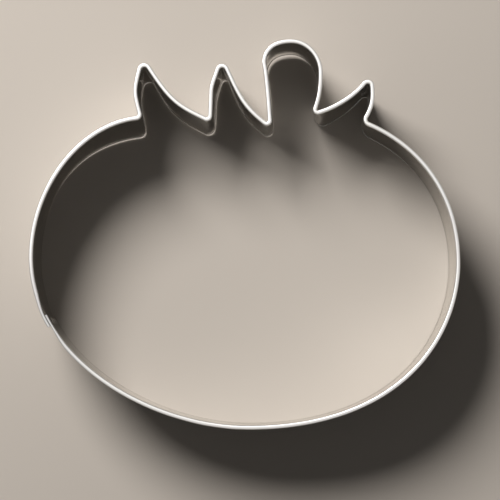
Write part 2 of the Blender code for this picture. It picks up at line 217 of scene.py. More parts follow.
# Steps of the mesh
CURVE_POINTS = 240
BODY_STEPS = 60
BEND_STEPS = 12
SIDE_STEPS = 16
STEM_STEPS = 20
LAP_STEPS = 8
EASE_STEPS = 14
CUT_STEPS = 5
WALL_STEPS = 14
NEST_STEPS = 8
UPPER_STEPS = 3
ROLL_STEPS = 14
LEG_STEPS = 5
CORNER_STEPS = 3
WELD_SIDES = 48
SMOOTH_ANGLE = radians(40)

# The camera looks almost straight down. It stands over CAMERA_OVER, and the point right below it falls at
# BELOW_PIXEL of the picture.
PICTURE_SIZE = 500
CAMERA_HEIGHT = 612.05 * MM
CAMERA_OVER = (6.963 * MM, -31.116 * MM)
BELOW_PIXEL = (274.0, 366.0)
FOCAL_PIXELS = 2497.44
SENSOR_WIDTH = 36.0

# The light comes from the upper left. The shadow of the rim falls this far from it, to the right and down.
SHADOW_RIGHT = 13.5 * MM
SHADOW_DOWN = 18.5 * MM
KEY_DISTANCE = 0.65
KEY_WIDTH = 0.32
KEY_POWER = 4.5
KEY_COLOUR = (1.0, 0.98, 0.95)

# The room that is seen and mirrored gets brighter from the horizon to the ceiling, between two rises of the
# line of sight. The fill is what the room adds to the shadows.
FILL_STRENGTH = 0.05
HORIZON_STRENGTH = 0.5
CEILING_STRENGTH = 0.85
CEILING_FROM = 0.35
CEILING_TO = 0.8
BACKDROP_COLOUR = (1.0, 0.985, 0.965)
FLOOR_COLOUR = (0.6, 0.545, 0.49)
FLOOR_ROUGHNESS = 0.9
FLOOR_WIDTH = 6.0

# A pattern's value from low to high becomes an amount from to_low to to_high, and no further
Ramp = namedtuple("Ramp", "low high to_low to_high")

# The strip's patterns. A scale is in steps to the metre, along the strip and across it where it has several
# numbers.
ROLLING_SCALE = (45.0, 5200.0, 1.0)
CREASE_SCALE = (4200.0, 70.0, 1.0)
SMUDGE_SCALE = 75.0
BLOOM_SCALE = 420.0
CREASES = Ramp(0.35, 0.65, 0.25, 1.0)

# Scratches, turned this far from the strip's length. share is how much of the surface has them.
Scratches = namedtuple("Scratches", "turn length width share")
LONG_SCRATCHES = Scratches(0.03, 9.0 * MM, 0.12 * MM, 0.27)
CROSS_SCRATCHES = Scratches(1.1, 5.0 * MM, 0.1 * MM, 0.23)
SCRATCH_SOFTNESS = 0.03

# The roll's look, its roughness and its painted highlight, comes in between these distances below the strip's
# height, measured along the sheet
ROLL_LOOK_FROM = 1.6 * MM
ROLL_LOOK_TO = 0.6 * MM

# Near the welds each of these is full within the first distance and gone beyond the second. The last is the
# reach of the painted shade on the roll near the lap.
STRAW_REACH = (1.1 * MM, 2.4 * MM)
BLUE_REACH = (0.8 * MM, 1.4 * MM)
ROLL_PAINTED_SHADE_REACH = (8.0 * MM, 20.0 * MM)

# The strip's colours, and how much of each lies over the plain sheet
SHEET_COLOUR = (0.72, 0.71, 0.69, 1.0)
SMUDGE_COLOUR = (0.63, 0.62, 0.605, 1.0)
SMUDGE_TINT = Ramp(0.35, 0.7, 0.0, 1.0)
BLOOM_COLOUR = (0.77, 0.76, 0.74, 1.0)
BLOOM_TINT = Ramp(0.45, 0.75, 0.0, 0.35)
SCRATCH_COLOUR = (0.55, 0.54, 0.53, 1.0)
SCRATCH_TINT = 0.25
STRAW_COLOUR = (0.62, 0.5, 0.34, 1.0)
STRAW_TINT = 0.55
BLUE_COLOUR = (0.36, 0.37, 0.44, 1.0)
BLUE_TINT = 0.6
BEND_COLOUR = (0.66, 0.65, 0.64, 1.0)
BEND_TINT = 0.5
# The roll's lighter colour is a painted highlight
ROLL_COLOUR = (0.74, 0.73, 0.715, 1.0)
# The roll's colour near the lap, greyer as painted shade
ROLL_PAINTED_SHADE_COLOUR = (0.56, 0.555, 0.55, 1.0)
GRAZING_COLOUR = (0.87, 0.86, 0.84, 1.0)

# The strip's roughness is the rolling lines' with these added
ROLLING_ROUGHNESS = Ramp(0.3, 0.7, 0.05, 0.09)
SMUDGE_ROUGHNESS = Ramp(0.45, 0.7, 0.0, 0.05)
SCRATCH_ROUGHNESS = 0.1
BEND_ROUGHNESS = 0.12
ROLL_ROUGHNESS = 0.3

# The welds' colours, patterns and roughness
WELD_COLOUR = (0.5, 0.5, 0.53, 1.0)
STAIN_COLOUR = (0.62, 0.57, 0.5, 1.0)
STAIN_SCALE = 900.0
STAIN_TINT = Ramp(0.35, 0.65, 0.0, 1.0)
PIT_COLOUR = (0.3, 0.29, 0.29, 1.0)
PIT_SCALE = 2600.0
PIT_TINT = Ramp(0.55, 0.7, 0.0, 0.6)
PIT_ROUGHNESS = Ramp(0.3, 0.7, 0.3, 0.5)

# The strength and the depth of each bump
ROLLING_BUMP = (0.25, 0.004 * MM)
SCRATCH_BUMP = (0.5, 0.006 * MM)
PIT_BUMP = (0.6, 0.02 * MM)


# The outline


def lengths_along(points):
    steps = np.linalg.norm(np.diff(points, axis=0), axis=1)
    return np.concatenate(([0.0], np.cumsum(steps)))


def trim(points, from_start, from_end):
    """The same curve, evenly spaced, with a length taken off each end."""
    along = lengths_along(points)
    kept = np.linspace(from_start, along[-1] - from_end, len(points))
    return np.column_stack([np.interp(kept, along, points[:, axis]) for axis in range(2)])


def bezier(start, start_handle, end_handle, end):
    """A cubic curve, evenly spaced."""
    t = np.linspace(0.0, 1.0, CURVE_POINTS)[:, None]
    s = 1 - t
    points = s**3 * start + 3 * s**2 * t * start_handle + 3 * s * t**2 * end_handle + t**3 * end
    return trim(points, 0.0, 0.0)


def bowed(start, end, side, at_edge):
    """One side of the crown."""
    chord = end - start
    left = np.array((-chord[1], chord[0])) / np.linalg.norm(chord)
    bow = (side.bow + side.edge_bow * at_edge) * CROWN_GRID
    pull = (start + end) / 2 + 2 * bow * left + side.lean * chord
    return bezier(start, start + side.fullness * (pull - start), end + side.fullness * (pull - end), end)


def direction(slope):
    """The unit vector at a slope in degrees."""
    return np.array((cos(radians(slope)), sin(radians(slope))))


def heading(points, at_end):
    step = points[-1] - points[-2] if at_end else points[1] - points[0]
    return step / np.linalg.norm(step)


def turn_between(before, after):
    return acos(max(-1.0, min(1.0, float(heading(before, True) @ heading(after, False)))))


def bend_curve(before, after):
    """The round bend that joins two trimmed sides."""
    turn = turn_between(before, after)
    radius = np.linalg.norm(after[0] - before[-1]) / 2 / sin(turn / 2)
    reach = 4 / 3 * tan(turn / 4) * radius
    return bezier(
        before[-1],
        before[-1] + reach * heading(before, True),
        after[0] - reach * heading(after, False),
        after[0],
    )


def crown_corner(bend, at_edge):
    """Where the two sides of a bend meet, at the rim or at the cutting edge."""
    across = bend.across + bend.edge_across * at_edge
    drop = bend.drop + bend.edge_drop * at_edge
    return np.array((across * CROWN_GRID, (OVERALL_DEPTH - RIM_WIDTH) / 2 - drop * CROWN_GRID))


def stem_end(start, end, at_edge):
    """The three curves over the stem's round end."""
    wider = STEM.edge_spread * at_edge * CROWN_GRID
    half_depth = (OVERALL_DEPTH - RIM_WIDTH) / 2
    top = np.array((STEM.top_across * CROWN_GRID, half_depth + wider))
    side = np.array((STEM.side_across * CROWN_GRID + wider, half_depth - STEM.side_drop * CROWN_GRID))
    right, up = CROWN_GRID * np.array((1.0, 0.0)), CROWN_GRID * np.array((0.0, 1.0))
    start_handle = start + STEM.start_reach * CROWN_GRID * direction(STEM.start_slope)
    end_handle = end - STEM.end_reach * CROWN_GRID * direction(STEM.end_slope)
    return (
        bezier(start, start_handle, top - STEM.left_reach * right, top),
        bezier(top, top + STEM.right_reach * right, side + STEM.up_reach * up, side),
        bezier(side, side - STEM.down_reach * up, end_handle, end),
    )


def outline(at_edge):
    """The closed outline, clockwise from its leftmost point, as (curve, steps, lift at its end) triples.

    It is the middle line of the rolled rim, or with at_edge the line that has the same sides at the
    cutting edge.
    """
    half_width = (OVERALL_WIDTH - RIM_WIDTH) / 2
    half_depth = (OVERALL_DEPTH - RIM_WIDTH) / 2
    leftmost = np.array((-half_width - LEFTMOST_EDGE_SPREAD * at_edge, -LEFTMOST_DROP))
    rightmost = np.array((half_width, -RIGHTMOST_DROP))
    lowest = np.array((LOWEST_ACROSS, -half_depth))
    right, up = np.array((1.0, 0.0)), np.array((0.0, 1.0))
    bends = {
        "left shoulder": LEFT_SHOULDER,
        "left leaf tip": LEFT_LEAF_TIP,
        "left valley": LEFT_VALLEY,
        "middle leaf tip": MIDDLE_LEAF_TIP,
        "middle valley": MIDDLE_VALLEY,
        "stem left bend": STEM_LEFT_BEND,
        "stem valley": STEM_VALLEY,
        "right leaf tip": RIGHT_LEAF_TIP,
        "right shoulder": RIGHT_SHOULDER,
    }
    corners = [crown_corner(bend, at_edge) for bend in bends.values()]
    shoulder, tip_1, valley_1, tip_2, valley_2, stem_left, valley_3, tip_3, right_shoulder = corners
    shoulder_reach = LEFT_SHOULDER_EDGE_REACH if at_edge else LEFT_SHOULDER_REACH
    shoulder_slope = LEFT_SHOULDER_EDGE_SLOPE if at_edge else LEFT_SHOULDER_SLOPE
    over_stem = stem_end(stem_left, valley_3, at_edge)

    # The handles of the body's four curves
    from_left = leftmost + LEFT_REACH_UP * up
    to_shoulder = shoulder - shoulder_reach * direction(shoulder_slope)
    from_shoulder = right_shoulder + RIGHT_SHOULDER_REACH * direction(RIGHT_SHOULDER_SLOPE)
    to_right = rightmost + RIGHT_REACH_UP * up
    from_right = rightmost - RIGHT_REACH_DOWN * up
    to_lowest = lowest + LOWEST_REACH_RIGHT * right
    from_lowest = lowest - LOWEST_REACH_LEFT * right
    to_left = leftmost - LEFT_REACH_DOWN * up

    # Each curve, with the name of the place where it ends and its mesh steps
    sides = (
        (bezier(leftmost, from_left, to_shoulder, shoulder), "left shoulder", BODY_STEPS),
        (bowed(shoulder, tip_1, LEFT_LEAF_RISE, at_edge), "left leaf tip", SIDE_STEPS),
        (bowed(tip_1, valley_1, LEFT_LEAF_FALL, at_edge), "left valley", SIDE_STEPS),
        (bowed(valley_1, tip_2, MIDDLE_LEAF_RISE, at_edge), "middle leaf tip", SIDE_STEPS),
        (bowed(tip_2, valley_2, MIDDLE_LEAF_FALL, at_edge), "middle valley", SIDE_STEPS),
        (bowed(valley_2, stem_left, STEM_RISE, at_edge), "stem left bend", SIDE_STEPS),
        (over_stem[0], "stem top", STEM_STEPS),
        (over_stem[1], "stem side", STEM_STEPS),
        (over_stem[2], "stem valley", STEM_STEPS),
        (bowed(valley_3, tip_3, RIGHT_LEAF_RISE, at_edge), "right leaf tip", SIDE_STEPS),
        (bowed(tip_3, right_shoulder, RIGHT_LEAF_FALL, at_edge), "right shoulder", SIDE_STEPS),
        (bezier(right_shoulder, from_shoulder, to_right, rightmost), "rightmost", BODY_STEPS),
        (bezier(rightmost, from_right, to_lowest, lowest), "lowest", BODY_STEPS),
        (bezier(lowest, from_lowest, to_left, leftmost), "leftmost", BODY_STEPS),
    )
    return round_bends(sides, bends, at_edge)


def round_bends(sides, bends, at_edge):
    """Trims the sides of each bend back, by a share of the shorter one at most, and puts a curve there."""
    setbacks = []
    for index, (curve, place, _) in enumerate(sides):
        if place not in bends:
            setbacks.append(0.0)
            continue
        following = sides[(index + 1) % len(sides)][0]
        bend = bends[place]
        radius = (bend.edge_radius if at_edge else bend.radius) * CROWN_GRID + RIM_WIDTH / 2
        setback = radius * tan(turn_between(curve, following) / 2)
        shorter = min(lengths_along(curve)[-1], lengths_along(following)[-1])
        setbacks.append(min(setback, LONGEST_SETBACK * shorter))
    trimmed = [
        trim(curve, setbacks[index - 1], setbacks[index]) for index, (curve, _, _) in enumerate(sides)
    ]
    curves = []
    for index, (_, place, steps) in enumerate(sides):
        curves.append((trimmed[index], steps, LIFTS[place]))
        if place in bends:
            following = trimmed[(index + 1) % len(sides)]
            curves.append((bend_curve(trimmed[index], following), BEND_STEPS, LIFTS[place]))
    return curves


def spread(first, last, steps):
    """Evenly spaced numbers after first, up to last."""
    return [first + (last - first) * step / steps for step in range(1, steps + 1)]


def strip_stations(rim):
    """(curve number, share along it) pairs, from the strip's outer end, clockwise, to its inner end."""
    last = len(rim) - 1
    length = lengths_along(rim[last][0])[-1]
    lap_start = 1 - (LAP_PLACE + LAP_LENGTH / 2) / length
    lap_end = 1 - (LAP_PLACE - LAP_LENGTH / 2) / length
    ease = LAP_EASE / length
    stations = [(last, lap_start)]
    stations += [(last, share) for share in spread(lap_start, lap_end, LAP_STEPS)]
    stations += [(last, share) for share in spread(lap_end, lap_end + ease, EASE_STEPS)]
    left_over = max(1, round(BODY_STEPS * (1 - lap_end - ease)))
    stations += [(last, share) for share in spread(lap_end + ease, 1.0, left_over)]
    for number, (_, steps, _) in enumerate(rim[:last]):
        stations += [(number, share) for share in spread(0.0, 1.0, steps)]
    up_to_ease = max(1, round(BODY_STEPS * (lap_start - ease)))
    stations += [(last, share) for share in spread(0.0, lap_start - ease, up_to_ease)]
    stations += [(last, share) for share in spread(lap_start - ease, lap_start, EASE_STEPS)]
    stations += [(last, share) for share in spread(lap_start, lap_end, LAP_STEPS)]
    return stations


def points_at(curves, stations):
    """The outline's points at the stations."""
    points = []
    for number, share in stations:
        curve = curves[number][0]
        place = share * (len(curve) - 1)
        points.append([np.interp(place, np.arange(len(curve)), curve[:, axis]) for axis in range(2)])
    return np.array(points)


def lifts_at(curves, stations):
    """How far the cutting edge stands off the table at the stations, easing from place to place."""
    lifts = []
    for number, share in stations:
        before, after = curves[number - 1][2], curves[number][2]
        lifts.append(blend(before, after, smooth(share)))
    return lifts


def outward(points):
    """Unit vectors square to the line, to the left of its clockwise travel."""
    along = np.gradient(points, axis=0)
    steps = np.diff(points, axis=0)
    steps /= np.linalg.norm(steps, axis=1)[:, None]
    along[1:-1] = steps[:-1] + steps[1:]
    along /= np.linalg.norm(along, axis=1)[:, None]
    return np.column_stack((-along[:, 1], along[:, 0]))


def bend_shares(points):
    """How sharply the line turns at each of its points, from 0 to 1."""
    steps = np.diff(points, axis=0)
    headings = np.unwrap(np.arctan2(steps[:, 1], steps[:, 0]))
    turns = np.zeros(len(points))
    turns[1:-1] = np.abs(np.diff(headings))
    along = lengths_along(points)
    shares = []
    for here in along:
        nearness = np.exp(-(((along - here) / MARK_REACH) ** 2))
        shares.append(min(1.0, float(turns @ nearness) / SHARP_TURN))
    return shares


def smooth(share):
    return share * share * (3 - 2 * share)


def eased(distance):
    """1 over the lap, falling smoothly to 0 where the strip is back on its own line."""
    return 1 - smooth(min(1.0, max(0.0, (distance - LAP_LENGTH) / LAP_EASE)))


def blend(first, last, share):
    return first + (last - first) * share


def rim_share(height):
    """How far up the wall's lean a height is: 0 at the cutting edge, 1 from the roll's middle up."""
    return min(1.0, height / (STRIP_HEIGHT - RIM_WIDTH / 2))


# The sheet's section


def wander(place, wave_length, seed):
    """A smooth irregular number from about -1 to 1, twice the noise's own, from the place on the strip."""
    return 2 * noise.noise(Vector((place[0] / wave_length, place[1] / wave_length, seed)))


def sheet_middle(inner_face, roll_gap, foot_gap, nest, foot_rise):
    """(offset, height) points along the middle of the sheet, from the cutting edge up the wall, round the
    roll and down the folded-back leg.

    inner_face is the wall's inner face, from the rim's middle line. Below the fold the wall moves by nest.
    """
    middle = inner_face + SHEET / 2
    fold_foot = STRIP_HEIGHT - FOLD_DEPTH
    radius = (SHEET + roll_gap) / 2
    roll_height = STRIP_HEIGHT - radius - SHEET / 2
    nest_foot = fold_foot - NEST_RISE
    path = [(middle + nest, 0.0)]
    path += [(middle + nest, height) for height in spread(EDGE_RADIUS, CUT_RISE, CUT_STEPS)]
    path += [(middle + nest, height) for height in spread(CUT_RISE, nest_foot, WALL_STEPS)]
    for step in spread(0.0, 1.0, NEST_STEPS):
        path.append((blend(middle + nest, middle, smooth(step)), blend(nest_foot, fold_foot, step)))
    path += [(middle, height) for height in spread(fold_foot, roll_height, UPPER_STEPS)]
    for angle in spread(pi, 0.0, ROLL_STEPS):
        across = abs(cos(angle)) ** ROLL_FLATNESS
        if angle >= pi / 2:
            across = -across
        rise = max(0.0, sin(angle)) ** ROLL_FLATNESS
        path.append((middle + radius * (1 + across), roll_height + radius * rise))

    # The leg closes in on the wall and ends a little above or below the fold's depth
    leg_top = middle + 2 * radius
    leg_foot = middle + SHEET + foot_gap
    leg_end = fold_foot + foot_rise
    for step in spread(0.0, 1.0, LEG_STEPS):
        path.append((blend(leg_top, leg_foot, smooth(step)), blend(roll_height, leg_end, step)))
    return np.array(path)


def corner(end, outwards, side, radius):
    """The rounded corner of the sheet's cut end, from the skin on that side to the end's face."""
    points = []
    for step in range(CORNER_STEPS + 1):
        angle = pi / 2 * step / CORNER_STEPS
        centre = end - radius * outwards + side * (SHEET / 2 - radius) * normal_of(outwards)
        points.append(centre + radius * (side * cos(angle) * normal_of(outwards) + sin(angle) * outwards))
    return points


def normal_of(vector):
    return np.array((-vector[1], vector[0]))


def sheet_section(path):
    """The closed section round the sheet, and the distance along the sheet at each of its points.

    It runs up the skin that shows inside the cutter and on the roll, across the leg's foot and back down
    the other skin to the cutting edge.
    """
    along = np.gradient(path, axis=0)
    along /= np.linalg.norm(along, axis=1)[:, None]
    normals = np.column_stack((-along[:, 1], along[:, 0]))
    distance = lengths_along(path)
    shown = path[1:-1] + normals[1:-1] * SHEET / 2
    hidden = path[1:-1] - normals[1:-1] * SHEET / 2
    start_out, end_out = -along[0], along[-1]
    # Looking out of the sheet's end, the shown skin is on the right at the cutting edge and on the left at
    # the leg's foot
    edge_shown = corner(path[0], start_out, -1, EDGE_RADIUS)
    edge_hidden = corner(path[0], start_out, 1, EDGE_RADIUS)
    foot_shown = corner(path[-1], end_out, 1, FOOT_RADIUS)
    foot_hidden = corner(path[-1], end_out, -1, FOOT_RADIUS)
    loop = edge_shown[::-1] + list(shown) + foot_shown + foot_hidden[::-1] + list(hidden[::-1]) + edge_hidden
    count = CORNER_STEPS + 1
    places = [0.0] * count + list(distance[1:-1]) + [distance[-1]] * (2 * count)
    places += list(distance[-2:0:-1]) + [0.0] * count
    return np.array(loop), places


def burr_at(rim_point):
    """How far the burr of the cutting edge sticks out, below a point of the rim."""
    crown_share = min(1.0, max(0.0, (rim_point[1] - BURR_FROM) / (BURR_TO - BURR_FROM)))
    return blend(BODY_BURR, CROWN_BURR, smooth(crown_share))


def cut_offset(height, on_shown, burr):
    """How far into the cutter a skin leans near the cutting edge."""
    down = 1 - min(1.0, height / CUT_RISE)
    return burr * down**2 if on_shown else ROLLOVER * (1 - sqrt(1 - down**2))


def wall_offset(rim_point, share):
    """How far the wall is off its true line, at a share of its height. It is true at both edges."""
    belly = sin(pi * share)
    ripple_seed = WALL_RIPPLE_SEED + WALL_RIPPLE_SEED_RISE * share
    slow = WALL_WAVE * wander(rim_point, WALL_WAVE_LENGTH, WALL_WAVE_SEED + share)
    quick = WALL_RIPPLE * wander(rim_point, WALL_RIPPLE_LENGTH, ripple_seed)
    return belly * (slow + quick)


def strip_rows(rim_points, edge_points, lifts):
    """The strip's vertices, a ring for each station, with the place of each on the flat sheet."""
    rim_out, edge_out = outward(rim_points), outward(edge_points)
    from_outer_end = lengths_along(rim_points)
    from_inner_end = from_outer_end[-1] - from_outer_end
    rows = []
    for number, rim_point in enumerate(rim_points):
        at_outer_end, at_inner_end = eased(from_outer_end[number]), eased(from_inner_end[number])
        at_end = max(at_outer_end, at_inner_end)
        inner_face = -RIM_WIDTH / 2
        inner_face = blend(inner_face, LAP_OUTWARD + LAP_GAP / 2 - ROLL_CLOSING, at_outer_end)
        inner_face = blend(inner_face, LAP_OUTWARD - LAP_GAP / 2 - PRESSED_WIDTH, at_inner_end)
        roll_gap = ROLL_GAP - ROLL_WAVE * abs(wander(rim_point, ROLL_WAVE_LENGTH, ROLL_WAVE_SEED))
        pressed_roll_gap = blend(PRESSED_GAP, OUTER_ROLL_GAP, at_outer_end)
        foot_gap = FOOT_GAP + FOOT_WAVE * wander(rim_point, FOOT_WAVE_LENGTH, FOOT_WAVE_SEED)
        foot_rise = FOOT_RISE * wander(rim_point, FOOT_WAVE_LENGTH, FOOT_RISE_SEED)
        path = sheet_middle(
            inner_face,
            blend(roll_gap, pressed_roll_gap, at_end),
            blend(foot_gap, PRESSED_GAP, at_end),
            (SHEET - PRESSED_WIDTH + ROLL_CLOSING) * at_outer_end,
            foot_rise,
        )
        loop, places = sheet_section(path)
        lift, burr = lifts[number], burr_at(rim_point)
        row = []
        for column, ((offset, height), place) in enumerate(zip(loop, places)):
            share = rim_share(height)
            offset -= cut_offset(height, column < len(loop) // 2, burr) * (1 - at_outer_end)
            offset += wall_offset(rim_point, share) * (1 - at_end)
            at_base = edge_points[number] + offset * edge_out[number]
            at_top = rim_points[number] + offset * rim_out[number]
            spot = blend(at_base, at_top, share)
            up = lift + height * (1 - lift / STRIP_HEIGHT)
            row.append((Vector((spot[0], spot[1], up)), (from_outer_end[number], place)))
        rows.append(row)
    return rows


def cutter_strip():
    """The bent strip, with the roll on top and the lapped ends."""
    rim = outline(False)
    stations = strip_stations(rim)
    rim_points = points_at(rim, stations)
    rows = strip_rows(rim_points, points_at(outline(True), stations), lifts_at(rim, stations))
    mesh = bmesh.new()
    layer = mesh.loops.layers.uv.new("Strip")
    bend = mesh.verts.layers.float.new("bend")
    rings = [[mesh.verts.new(point) for point, _ in row] for row in rows]
    for ring, share in zip(rings, bend_shares(rim_points)):
        for vertex in ring:
            vertex[bend] = share
    count = len(rows[0])
    for number in range(len(rows) - 1):
        for here in range(count):
            there = (here + 1) % count
            corners = ((number, here), (number, there), (number + 1, there), (number + 1, here))
            face = mesh.faces.new([rings[row][column] for row, column in corners])
            for loop, (row, column) in zip(face.loops, corners):
                loop[layer].uv = rows[row][column][1]
    half = count // 2
    for ring in (rings[0], rings[-1]):
        for step in range(half - 1):
            mesh.faces.new((ring[step], ring[step + 1], ring[count - 2 - step], ring[count - 1 - step]))
    bmesh.ops.recalc_face_normals(mesh, faces=mesh.faces)
    return finished("cutter_strip", mesh, strip_steel())


def finished(name, mesh, material):
    """Makes the object of a mesh, with smooth shading and its material."""
    data = bpy.data.meshes.new(name)
    mesh.to_mesh(data)
    mesh.free()
    data.shade_smooth()
    data.set_sharp_from_angle(angle=SMOOTH_ANGLE)
    data.materials.append(material)
    thing = bpy.data.objects.new(name, data)
    bpy.context.scene.collection.objects.link(thing)
    return thing


# The spot welds


def lap_out():
    """The direction out of the lap, level with the table."""
    rim = outline(False)
    last = len(rim) - 1
    length = lengths_along(rim[last][0])[-1]
    shares = [1 - (LAP_PLACE + step * LAP_LENGTH / 2) / length for step in (1, 0, -1)]
    out = outward(points_at(rim, [(last, share) for share in shares]))[1]
    return Vector((out[0], out[1], 0.0))


def turned(mesh, profile):
    """Adds a closed solid turned round the local Z axis from (radius, height) points, ends on the axis."""
    rings = []
    for radius, height in profile:
        sides = 1 if radius == 0 else WELD_SIDES
        ring = []
        for side in range(sides):
            angle = 2 * pi * side / WELD_SIDES
            ring.append(mesh.verts.new((radius * cos(angle), radius * sin(angle), height)))
        rings.append(ring)
    for lower, upper in zip(rings, rings[1:]):
        for side in range(WELD_SIDES):
            following = (side + 1) % WELD_SIDES
            corners = [lower[side % len(lower)], lower[following % len(lower)]]
            corners += [upper[following % len(upper)], upper[side % len(upper)]]
            mesh.faces.new(list(dict.fromkeys(corners)))
    bmesh.ops.recalc_face_normals(mesh, faces=mesh.faces)


def weld_place(node):
    """Where a weld of the frame is, as the matrix of its own axes, with Z out of the lap."""
    low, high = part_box(node)
    out = lap_out()
    up = Vector((0.0, 0.0, 1.0))
    turn = Matrix((up.cross(out), up, out)).transposed()
    return Matrix.Translation((low + high) / 2) @ turn.to_4x4()


def weld_profile():
    """Half of the weld's section, from its inner face to its outer face.

    Each face is dished in the middle and has a low lip that runs out over the sheet, round the hole.
    """
    half = SHEET + LAP_GAP / 2
    face = [(share * WELD_RADIUS, half - depth * WELD_DISH) for share, depth in WELD_DISH_SHAPE]
    face.append((WELD_SHOULDER[0] * WELD_RADIUS, half + WELD_SHOULDER[1] * WELD_COLLAR))
    face += [(WELD_RADIUS + share * WELD_LIP, half + rise * WELD_COLLAR) for share, rise in WELD_LIP_SHAPE]
    face.append((WELD_RADIUS, half))
    return [(radius, -height) for radius, height in face] + face[::-1]


def spot_weld(node):
    mesh = bmesh.new()
    turned(mesh, weld_profile())
    weld = finished(node.replace("spot_", "") + "_nugget", mesh, weld_steel())
    weld.matrix_world = weld_place(node)
    return weld


def cut_weld_holes(strip):
    """Cuts a round hole for each weld through both layers of the lap."""
    depth = 2 * PRESSED_WIDTH
    profile = ((0.0, -depth), (WELD_HOLE_RADIUS, -depth), (WELD_HOLE_RADIUS, depth), (0.0, depth))
    for node in WELD_NODES:
        mesh = bmesh.new()
        turned(mesh, profile)
        mesh.transform(weld_place(node))
        cutter = finished("hole", mesh, strip.data.materials[0])
        cut = strip.modifiers.new("hole", "BOOLEAN")
        cut.operation = "DIFFERENCE"
        cut.object = cutter
        with bpy.context.temp_override(object=strip, active_object=strip, selected_objects=[strip]):
            bpy.ops.object.modifier_apply(modifier=cut.name)
        bpy.data.objects.remove(cutter)
    strip.data.set_sharp_from_angle(angle=SMOOTH_ANGLE)


# The materials


def new_material(name):
    material = bpy.data.materials.new(name)
    material.use_nodes = True
    tree = material.node_tree
    return material, tree, tree.nodes["Principled BSDF"]


def add(tree, kind, settings=None, **links):
    """Adds a node. settings are its properties.

    Each link is an input by its name, or as i and its number, with the value or the output that it gets.
    """
    node = tree.nodes.new(kind)
    for name, value in (settings or {}).items():
        setattr(node, name, value)
    for name, value in links.items():
        socket = node.inputs[int(name[1:])] if name[1:].isdigit() else node.inputs[name.replace("_", " ")]
        if isinstance(value, bpy.types.NodeSocket):
            tree.links.new(value, socket)
        else:
            socket.default_value = value
    return node


def math(tree, operation, first, second=0.0, third=0.0):
    settings = {"operation": operation}
    return add(tree, "ShaderNodeMath", settings, i0=first, i1=second, i2=third).outputs[0]


def times(tree, first, second):
    return math(tree, "MULTIPLY", first, second)


def ranged(tree, value, ramp):
    """The amount that a ramp makes of a value."""
    return add(
        tree,
        "ShaderNodeMapRange",
        Value=value,
        From_Min=ramp.low,
        From_Max=ramp.high,
        To_Min=ramp.to_low,
        To_Max=ramp.to_high,
    ).outputs["Result"]


def mixed(tree, share, first, second):
    """A share of the second colour over the first. A colour mix has its colours at inputs 6 and 7."""
    node = add(tree, "ShaderNodeMix", {"data_type": "RGBA"}, i0=share, i6=first, i7=second)
    return node.outputs[2]


def scaled(tree, vector, scale, turn=0.0):
    return add(tree, "ShaderNodeMapping", Vector=vector, Scale=scale, Rotation=(0.0, 0.0, turn)).outputs[0]


def noise_at(tree, vector, scale=1.0, detail=2.0, roughness=0.5):
    return add(
        tree, "ShaderNodeTexNoise", Vector=vector, Scale=scale, Detail=detail, Roughness=roughness
    ).outputs["Fac"]


def bumped(tree, bump, height, settings=None, **links):
    strength, depth = bump
    node = add(tree, "ShaderNodeBump", settings, Strength=strength, Distance=depth, Height=height, **links)
    return node.outputs[0]


def scratched(tree, flat, kind):
    """Fine straight marks on the flat sheet."""
    stretched = scaled(tree, flat, (1 / kind.length, 1 / kind.width, 1.0), kind.turn)
    line = noise_at(tree, stretched, detail=1.0)
    edge = 1 - kind.share
    return ranged(tree, line, Ramp(edge, edge + SCRATCH_SOFTNESS, 0.0, 1.0))


def near_welds(tree, place, inner, outer):
    """1 within the inner distance of a weld's axis, 0 beyond the outer one."""
    nearest = None
    for node in WELD_NODES:
        low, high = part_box(node)
        centre = (low + high) / 2
        away = add(tree, "ShaderNodeVectorMath", {"operation": "DISTANCE"}, i0=place, i1=centre)
        distance = away.outputs["Value"]
        nearest = distance if nearest is None else math(tree, "MINIMUM", nearest, distance)
    return ranged(tree, nearest, Ramp(inner, outer, 1.0, 0.0))


def dull_bends(tree, flat):
    """How much the sheet is dulled by the stretch marks of a bend, which run up the wall."""
    bent = add(tree, "ShaderNodeAttribute", {"attribute_name": "bend"}).outputs["Fac"]
    creases = noise_at(tree, scaled(tree, flat, CREASE_SCALE))
    return times(tree, bent, ranged(tree, creases, CREASES))


def strip_colour(tree, place, smudge, marks, dull, on_roll):
    """The plain sheet's colour, with each tint laid over the ones before it."""
    bloom = noise_at(tree, place, BLOOM_SCALE)
    straw = near_welds(tree, place, *STRAW_REACH)
    blue = near_welds(tree, place, *BLUE_REACH)
    roll_painted_shade = near_welds(tree, place, *ROLL_PAINTED_SHADE_REACH)
    tints = (
        (ranged(tree, smudge, SMUDGE_TINT), SMUDGE_COLOUR),
        (ranged(tree, bloom, BLOOM_TINT), BLOOM_COLOUR),
        (times(tree, marks, SCRATCH_TINT), SCRATCH_COLOUR),
        (times(tree, straw, STRAW_TINT), STRAW_COLOUR),
        (times(tree, blue, BLUE_TINT), BLUE_COLOUR),
        (times(tree, dull, BEND_TINT), BEND_COLOUR),
        # The roll's painted highlight, greyer near the lap as painted shade
        (on_roll, mixed(tree, roll_painted_shade, ROLL_COLOUR, ROLL_PAINTED_SHADE_COLOUR)),
    )
    colour = SHEET_COLOUR
    for share, tint in tints:
        colour = mixed(tree, share, colour, tint)
    return colour


def strip_roughness(tree, rolling, smudge, marks, dull, on_roll):
    rough = ranged(tree, rolling, ROLLING_ROUGHNESS)
    added = (
        ranged(tree, smudge, SMUDGE_ROUGHNESS),
        times(tree, marks, SCRATCH_ROUGHNESS),
        times(tree, dull, BEND_ROUGHNESS),
        times(tree, on_roll, ROLL_ROUGHNESS),
    )
    for more in added:
        rough = math(tree, "ADD", rough, more)
    return rough


